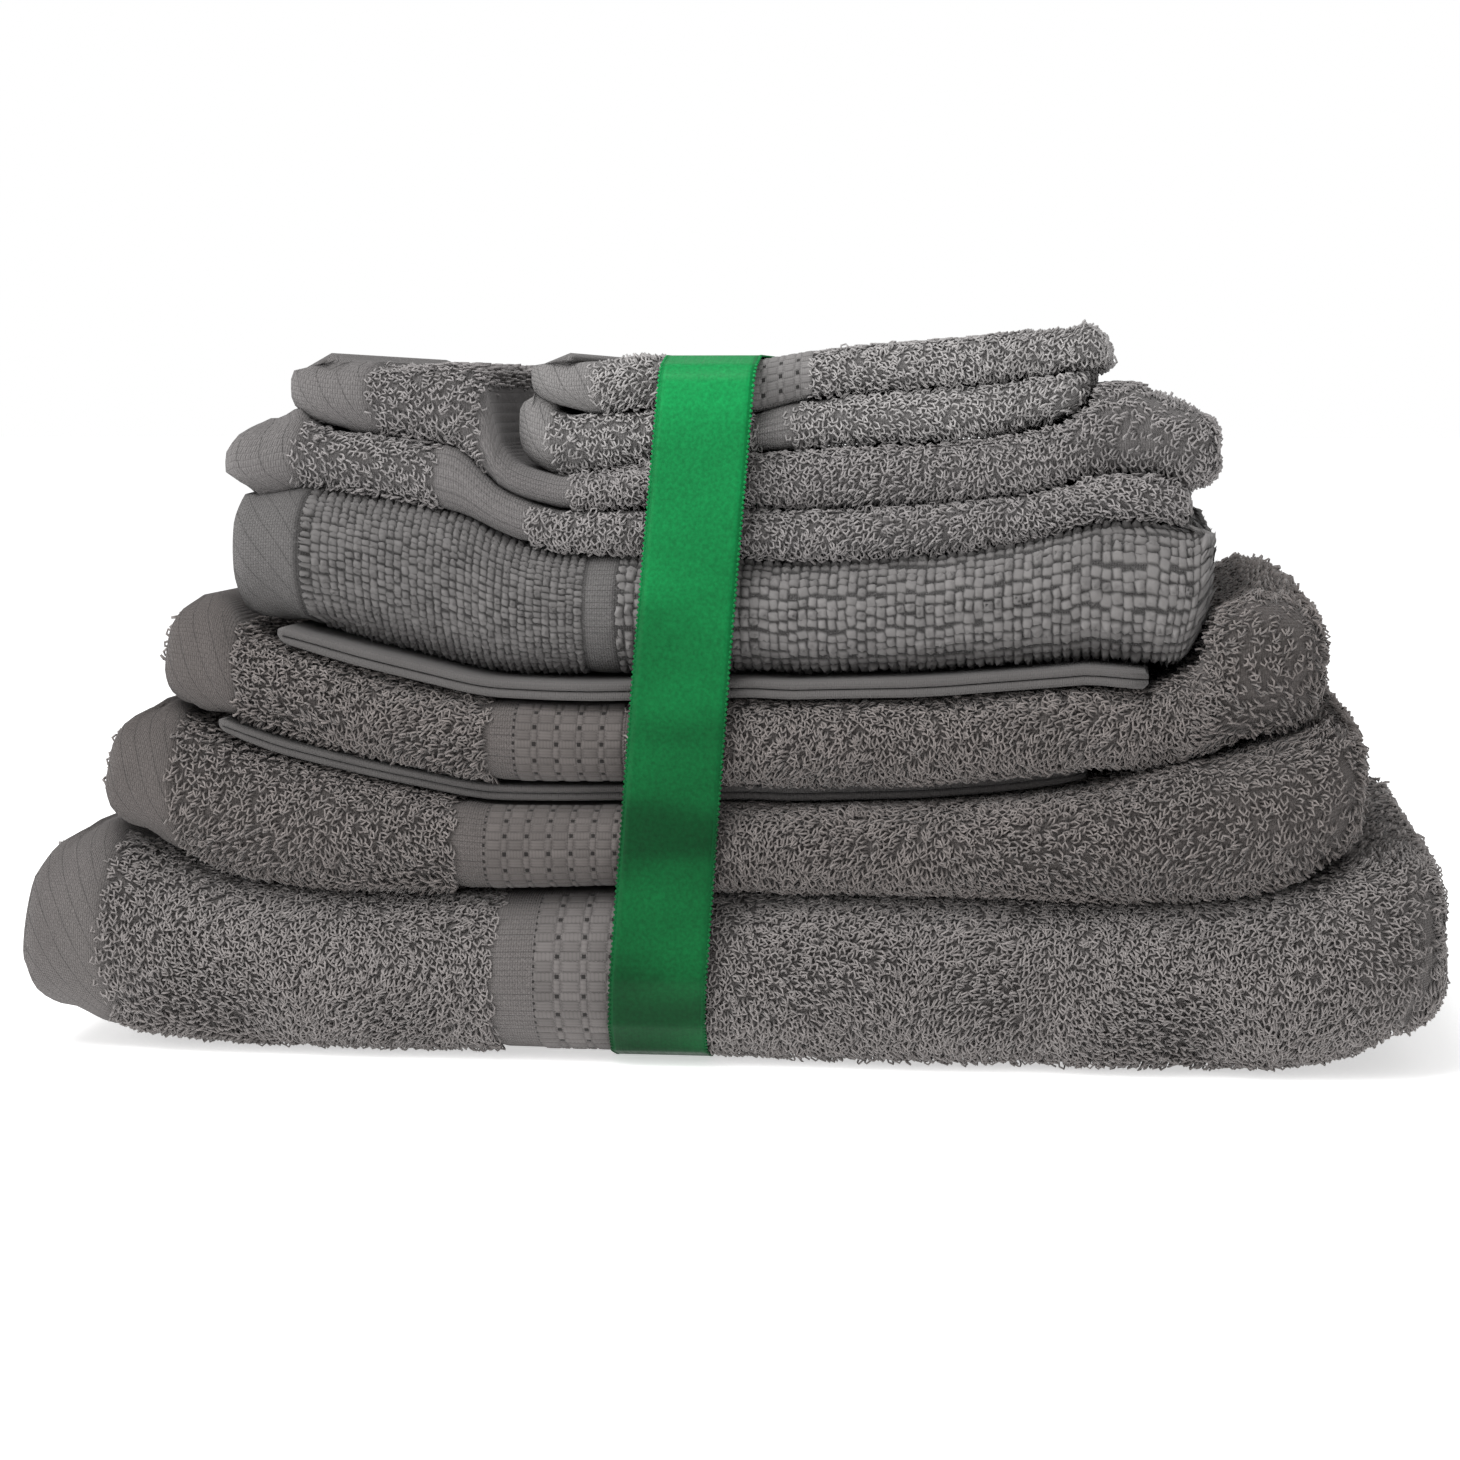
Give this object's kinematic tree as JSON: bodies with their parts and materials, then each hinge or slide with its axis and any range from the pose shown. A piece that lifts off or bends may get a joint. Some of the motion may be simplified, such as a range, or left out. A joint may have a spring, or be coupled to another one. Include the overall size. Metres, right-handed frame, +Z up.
{
  "type": "bath towel set",
  "caption": "Bath towel set: folded terry towels, a bath mat, flat-woven cloths and face cloths stacked by size and held together by a satin ribbon.",
  "frame": {"origin": "on the floor, under the middle of the folded bath sheet", "axes": "+X along the folded towels from their hemmed ends to their doubled ends, +Y from the rounded front folds to the back, +Z up"},
  "size_m": [0.37, 0.234, 0.1844],
  "materials": {
    "terry_deep": "looped cotton terry, dark brown-grey, matt",
    "terry_bath": "looped cotton terry, dark brown-grey, matt",
    "flat_weave": "smooth flat-woven cotton with a stitched hem, matt",
    "mat_pile": "dense short cotton pile in blocks and ribs, matt",
    "terry_hand": "looped cotton terry with a flat woven border band, matt",
    "terry_face": "looped cotton terry with a flat woven border band, matt",
    "ribbon_satin": "green satin-woven ribbon with a fine looped edge, soft sheen",
    "clear_tape": "clear adhesive tape"
  },
  "bodies": {
    "towel_stack": {"bath_sheet": "terry_deep", "bath_towel_lower": "terry_bath", "flat_cloth_lower": "flat_weave", "bath_towel_upper": "terry_bath", "flat_cloth_upper": "flat_weave", "bath_mat": "mat_pile", "hand_towel_lower": "terry_hand", "hand_towel_upper": "terry_hand", "face_cloth_lower": "terry_face", "face_cloth_upper": "terry_face"},
    "ribbon_band": {"ribbon": "ribbon_satin", "ribbon_tape": "clear_tape"}
  },
  "joints": [
    {"name": "ribbon_slide", "type": "slide", "parent": "towel_stack", "child": "ribbon_band", "axis": [-1, 0, 0], "range_m": [0, 0.2]}
  ]
}
